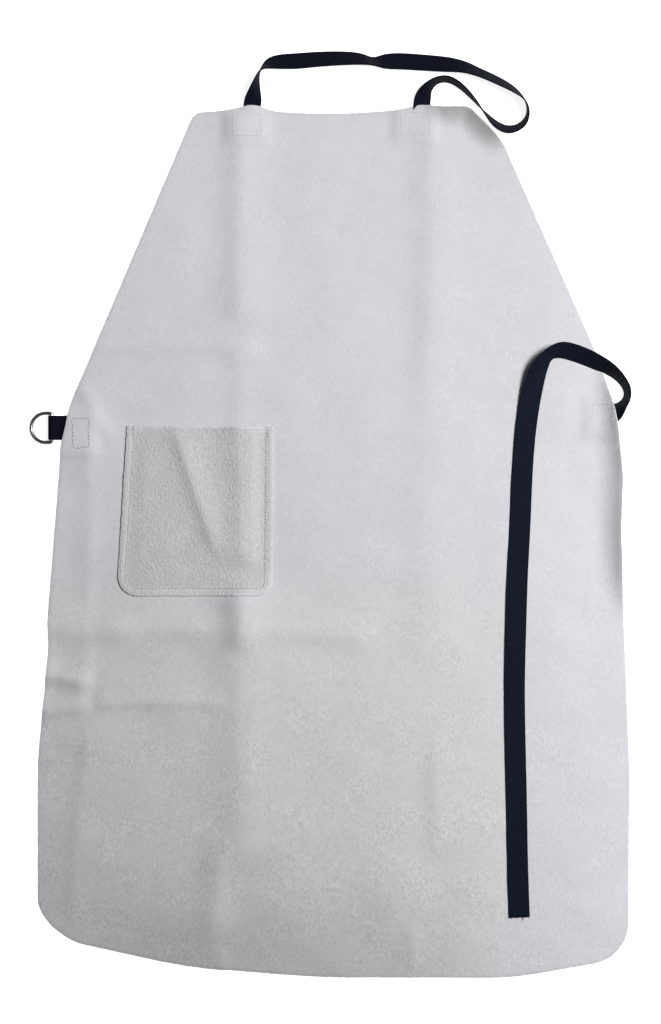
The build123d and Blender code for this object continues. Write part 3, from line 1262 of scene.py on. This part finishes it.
def spline_points(points: list[Vector]) -> list[Vector]:
    """Read the points of a smooth NURBS line.

    Args:
        points: its control points.

    Returns:
        Points along it, in order.
    """
    curve = bpy.data.curves.new("route", "CURVE")
    curve.dimensions = "3D"
    spline = curve.splines.new("NURBS")
    spline.points.add(len(points) - 1)
    for knot, point in zip(spline.points, points):
        knot.co = (*point, 1.0)
    spline.order_u = 3
    spline.use_endpoint_u = True
    curve.resolution_u = 8
    route = bpy.data.objects.new("route", curve)
    mesh = bpy.data.meshes.new_from_object(route)
    found = [v.co.copy() for v in mesh.vertices]
    bpy.data.objects.remove(route)
    bpy.data.curves.remove(curve)
    bpy.data.meshes.remove(mesh)
    return found


@dataclass
class Strap:
    """A strap of flat webbing that follows a route and turns about it.

    The first rows of its route that are tucked lie under the leather's turned-up edge, unlifted.
    """

    name: str
    node: str
    route: tuple[Row, ...]
    width: float
    sheet: LeatherSheet
    exit: tuple[float, float]
    far_end: str
    thickness: float = 1.5 * MM
    columns: int = 8
    landing: float = 8.0 * MM
    tucked: int = 0

    def lifted(self, x: float, y: float) -> float:
        """Tell how far the leather's folds lift the strap.

        Args:
            x, y: place in metres.

        Returns:
            The height in metres.
        """
        _, far = self.sheet.plan.nearest_edge(x, y)
        off = self.sheet.plan.top(x, y) is None
        lift = float(self.sheet.lie.rise(np.array([x]), np.array([y]), np.array([0.0 if off else far]))[0])
        return lift * max(0.0, 1.0 - far / self.landing) if off else lift

    def lines(self) -> tuple[list[Vector], list[Vector]]:
        """Lay the middle line and one selvedge.

        Returns:
            The points of both, in step with each other.
        """
        middle, side = [], []
        flat = [Vector((x, y, 0)) * MM for x, y, _, _ in self.route]
        for index, (x, y, base, turn) in enumerate(self.route):
            before, after = flat[max(index - 1, 0)], flat[min(index + 1, len(flat) - 1)]
            way = (after - before).normalized()
            turn = math.radians(turn)
            reach = abs(math.sin(turn)) * self.width / 2 + abs(math.cos(turn)) * self.thickness / 2
            lift = 0.0 if index < self.tucked else self.lifted(x * MM, y * MM)
            centre = flat[index] + Vector((0, 0, base * MM + reach + lift))
            across = Vector((-way.y, way.x, 0)) * math.cos(turn) + Vector((0, 0, 1)) * math.sin(turn)
            middle.append(centre)
            side.append(centre + across * self.width / 2)
        return spline_points(middle), spline_points(side)

    def build(self, material: Material, frayed: bool = False) -> None:
        """Args:
            material: the webbing's finish.
            frayed: whether its last end is cut and frayed.
        """
        middle, side = self.lines()
        points, faces, uvs, run = [], [], [], 0.0
        for index, (centre, edge) in enumerate(zip(middle, side)):
            run += (centre - middle[index - 1]).length if index else 0.0
            across = (edge - centre).normalized() * self.width / 2
            for column in range(self.columns + 1):
                share = 2 * column / self.columns - 1
                points.append(centre + across * share)
                uvs.append((column / self.columns, run / self.width))
        step = self.columns + 1
        for row in range(len(middle) - 1):
            for column in range(self.columns):
                a = row * step + column
                faces.append((a, a + 1, a + 1 + step, a + step))
        piece = new_piece(self.name, points, faces)
        lay_weave(piece.data, uvs)
        thicken(piece, self.name, self.thickness, 0.0, WEB_ROUNDING, 55)
        dress(piece, material, Slot.WEBBING, Body.APRON, self.node)
        fray = [Fray().build(self, material)] if frayed else []
        log.info("%s: %.0f mm long", self.name, run / MM)


@dataclass
class Fray:
    """Loose warp ends where the tie was cut: thin tapered fibres, one of them long."""

    name: str = "waist_tie_fray"
    count: int = 11
    radius: float = 0.22 * MM
    short: tuple[float, float] = (0.9, 2.4)
    long: float = 4.2
    seed: int = 5

    def build(self, strap: Strap, material: Material) -> Object:
        """Stand the fibres along the cut end and join them.

        Args:
            strap: the strap whose last end is frayed.
            material: the webbing's finish.

        Returns:
            The finished piece.
        """
        middle, side = strap.lines()
        end, way = middle[-1], (middle[-1] - middle[-2]).normalized()
        across = (side[-1] - end).normalized()
        chance = random.Random(self.seed)
        bpy.ops.object.select_all(action="DESELECT")
        fibres = []
        for step in range(self.count):
            share = 2 * step / (self.count - 1) - 1
            stray = step == 2 * self.count // 3
            length = (self.long if stray else chance.uniform(*self.short)) * MM
            radius = self.radius * (1.7 if stray else 1.0)
            lean = across * chance.uniform(-0.35, 0.35) + Vector((0, 0, chance.uniform(-0.2, 0.1)))
            aim = (way + lean).normalized()
            start = end + across * share * strap.width * 0.46 - way * 0.4 * MM
            bpy.ops.mesh.primitive_cone_add(
                vertices=5,
                radius1=radius,
                radius2=0.4 * radius,
                depth=length,
                location=start + aim * length / 2,
                rotation=aim.to_track_quat("Z", "Y").to_euler(),
            )
            fibres.append(bpy.context.object)
        for fibre in fibres:
            fibre.select_set(True)
        bpy.context.view_layer.objects.active = fibres[0]
        bpy.ops.object.join()
        piece = settle(bpy.context.object, self.name)
        bpy.ops.object.shade_smooth_by_angle(angle=math.radians(60))
        dress(piece, material, Slot.WEBBING, Body.APRON)
        return piece


@dataclass
class StrapTab:
    """The short strap folded round the ring's bar and sewn under the panel."""

    name: str = "d_ring_tab_webbing"
    node: str = "d_ring_tab"
    thickness: float = 1.5 * MM
    leather: float = 1.4 * MM
    inner: float = 2.15 * MM
    throat: float = 8.0 * MM
    steps: int = 20

    def build(self, material: Material) -> None:
        """Extrude and spin the strap's end edge along its fold, then give it thickness.

        Args:
            material: the webbing's finish.
        """
        low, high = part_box(self.node)
        width = high.y - low.y
        joint = next(j for j in frame["joints"] if j["child"] == Body.RING.value)
        bar = Vector(joint["pos_m"])
        radius = self.inner + self.thickness / 2
        middle = self.leather + self.thickness
        upper, lower = middle + self.thickness / 2, middle - self.thickness / 2
        throat = bar.x + self.throat
        lean = math.atan2(self.thickness / 2, self.throat) + math.asin(
            min(0.99, radius / math.hypot(self.throat, upper - bar.z))
        )
        turn = 2 * math.pi - 2 * lean
        rise, back = radius * math.sin(lean), radius * math.cos(lean)
        piece = rectangle(Vector((throat, low.y, 0)), high, upper)
        for vertex in piece.data.vertices:
            vertex.select = vertex.co.x < throat + 0.1 * MM
        for edge in piece.data.edges:
            edge.select = all(piece.data.vertices[v].select for v in edge.vertices)
        for polygon in piece.data.polygons:
            polygon.select = False
        first = Vector((bar.x + back - throat, 0, bar.z + rise - upper))
        bpy.ops.object.mode_set(mode="EDIT")
        bpy.ops.mesh.select_mode(type="EDGE")
        bpy.ops.mesh.extrude_edges_move(TRANSFORM_OT_translate={"value": first})
        bpy.ops.mesh.spin(steps=self.steps, angle=turn, center=bar, axis=(0, 1, 0))
        last = Vector((throat - bar.x - back, 0, lower - bar.z + rise))
        bpy.ops.mesh.extrude_edges_move(TRANSFORM_OT_translate={"value": last})
        bpy.ops.mesh.extrude_edges_move(TRANSFORM_OT_translate={"value": (high.x - throat, 0, 0)})
        bpy.ops.object.mode_set(mode="OBJECT")
        mesh = piece.data
        run = {v: 0.0 for v in mesh.polygons[0].vertices if mesh.vertices[v].co.x > high.x - 0.1 * MM}
        for polygon in mesh.polygons:
            reached = max(run[v] for v in polygon.vertices if v in run) + polygon.area / width
            for vertex in polygon.vertices:
                run.setdefault(vertex, reached)
        lay_weave(mesh, {v.index: ((v.co.y - low.y) / width, run[v.index] / width) for v in mesh.vertices})
        thicken(piece, self.name, self.thickness, 0.0, WEB_ROUNDING, 55)
        dress(piece, material, Slot.WEBBING, Body.APRON, self.node)


@dataclass
class Patch:
    """A small rectangle of leather behind one strap end."""

    name: str
    node: str
    corner: float = 2.0 * MM
    rounding: float = 0.3 * MM

    def build(self, material: Material) -> None:
        """Cut it from a plane, round its corners and give it thickness.

        Args:
            material: its finish.
        """
        low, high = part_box(self.node)
        size, piece = high - low, rectangle(low, high, low.z)
        bpy.ops.object.mode_set(mode="EDIT")
        bpy.ops.mesh.select_all(action="SELECT")
        bpy.ops.mesh.bevel(offset=self.corner, segments=4, affect="VERTICES")
        bpy.ops.object.mode_set(mode="OBJECT")
        thicken(piece, self.name, size.z, 1.0, self.rounding, 40)
        dress(piece, material, Slot.PATCH, Body.APRON, self.node)


# --- studio


@dataclass
class Studio:
    """The pale floor, one wide soft lamp, faint light from all round and the camera overhead."""

    camera_height: float = 2.5
    view_length: float = 1.0547
    aim: Point = (0.0013, 0.0299)
    lamp_place: tuple[float, float, float] = (1.1, 0.5, 1.8)
    lamp_size: float = 0.6
    lamp_power: float = 60.0
    sky: float = 0.1
    floor_glow: float = 0.85

    def build(self) -> None:
        """Put up the floor, the light and the camera."""
        bpy.ops.object.select_all(action="DESELECT")
        bpy.ops.mesh.primitive_grid_add(x_subdivisions=4, y_subdivisions=4, size=6.0)
        floor = bpy.context.object
        floor.name = "floor"
        material, g, shader = new_material("pale_floor")
        glow = {"Emission_Color": (1, 1, 1, 1), "Emission_Strength": self.floor_glow}
        g.feed(shader, Base_Color=(0.9, 0.9, 0.9, 1), Roughness=0.9, **glow)
        floor.data.materials.append(material)
        lamp = bpy.data.lights.new("softbox", "AREA")
        lamp.size = self.lamp_size
        lamp.energy = self.lamp_power
        add_object("softbox", lamp, self.lamp_place)
        world = bpy.data.worlds.new("room")
        world.use_nodes = True
        background = world.node_tree.nodes["Background"]
        background.inputs["Color"].default_value = (0.93, 0.95, 1.0, 1)
        background.inputs["Strength"].default_value = self.sky
        bpy.context.scene.world = world
        view = bpy.data.cameras.new("camera")
        view.sensor_width = 36.0
        view.lens = view.sensor_width * self.camera_height / self.view_length
        bpy.context.scene.camera = add_object("camera", view, (*self.aim, self.camera_height))
        bpy.context.scene.view_settings.view_transform = "Standard"
        log.info("studio: camera %.2f m above the floor", self.camera_height)


# --- the apron


def main() -> None:
    """Build the apron round its frame, piece by piece."""
    logging.basicConfig(level=logging.INFO, format="%(name)s %(message)s")
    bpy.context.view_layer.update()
    Studio().build()
    effects = Effects()
    suede = Suede(
        "split_leather_grey",
        cool=(0.615, 0.61, 0.645),
        neutral=(0.613, 0.611, 0.622),
        shade=(0.36, 0.36, 0.36),
        contrast=0.05,
        coarse=0.22,
        skirt_grain=1.5,
        # Partly real uneven dyeing, partly painted light falloff: darker towards the lower left.
        dye_and_falloff=(-0.10, -1.05, 0.25, -0.25),
        # Painted shade along the middle of the hem.
        hem_shade=0.14,
    ).material(effects)
    rough = Suede(
        "pocket_leather_rough",
        cool=(0.588, 0.586, 0.598),
        neutral=(0.585, 0.585, 0.588),
        shade=(0.36, 0.36, 0.36),
        grain=470.0,
        contrast=0.09,
        coarse=0.12,
        skirt_grain=0.0,
        relief=1.0,
        depth=1.5 * MM,
        # Painted highlight on the pocket's lit border and cut edge.
        rim_tone=0.075,
    ).material(effects)
    behind = Suede(
        "patch_leather_grey", cool=(0.55, 0.55, 0.57), neutral=(0.55, 0.55, 0.55), shade=(0.3, 0.3, 0.3)
    ).material(effects)
    neck_tape = Tape("neck_webbing", (0.0024, 0.0033, 0.0075), (0.0036, 0.005, 0.0115), 11.0, 11.0)
    neck_tape = neck_tape.material(effects)
    tie_tape = Tape("tie_webbing", (0.0042, 0.0062, 0.0125), (0.007, 0.0098, 0.0195), 13.0, 13.0)
    tie_tape = tie_tape.material(effects)
    thread = Yarn("grey_thread", (0.56, 0.56, 0.57), (0.28, 0.28, 0.285)).material(effects)
    pale_thread = Yarn("pale_thread", (0.61, 0.61, 0.63), (0.44, 0.44, 0.455)).material(effects)
    steel = Steel("dark_plated_wire", (0.42, 0.42, 0.40), (0.19, 0.19, 0.18)).material()

    # The curled-up top right corner also sets where the panel's shade is painted.
    panel = Panel("apron_leather", "apron_panel", Slot.PANEL, PANEL_LIE, cell=3.4 * MM, corner_shade_area=CORNER_CURL)
    neck = Strap("neck_webbing_strap", "neck_strap", NECK_ROUTE, 18 * MM, panel, (-0.080, 0.442), "object")
    neck.build(neck_tape)
    tie = Strap("waist_webbing_tie", "waist_tie", TIE_ROUTE, 21.5 * MM, panel, (0.296, 0.130), "bare")
    tie.tucked = 5
    tie.build(tie_tape, frayed=True)
    panel.build(suede)
    pocket = Pocket(
        "patch_pocket",
        "pocket",
        Slot.POCKET,
        POCKET_LIE,
        cell=2.0 * MM,
        crown=0.05,
        smoothing=6,
        rests_on=("apron_leather",),
        ragged=0.2 * MM,
        rim_width=1.6 * MM,
        panel_plan=panel.plan,
    )
    pocket.build(rough)
    for node in ("pocket_seam", "pocket_bar_tacks"):
        Seam(f"{node}_thread", node, pocket, hole=0.55 * MM).build(thread)
    Seam("d_ring_seam_thread", "d_ring_seam", panel, slant=0.35, drift=0.35 * MM).build(thread)
    for node in ("neck_left_seam", "neck_right_seam", "waist_seam"):
        Seam(f"{node}_thread", node, panel, hole=0.4 * MM).build(pale_thread)
    for node in ("neck_left_patch", "neck_right_patch", "waist_patch", "d_ring_patch"):
        Patch(f"{node}_leather", node).build(behind)
    StrapTab().build(neck_tape)
    ring = frame["nodes"]["d_ring"]
    ring.data.materials.clear()
    ring.data.materials.append(steel)


if __name__ == "__main__":
    main()
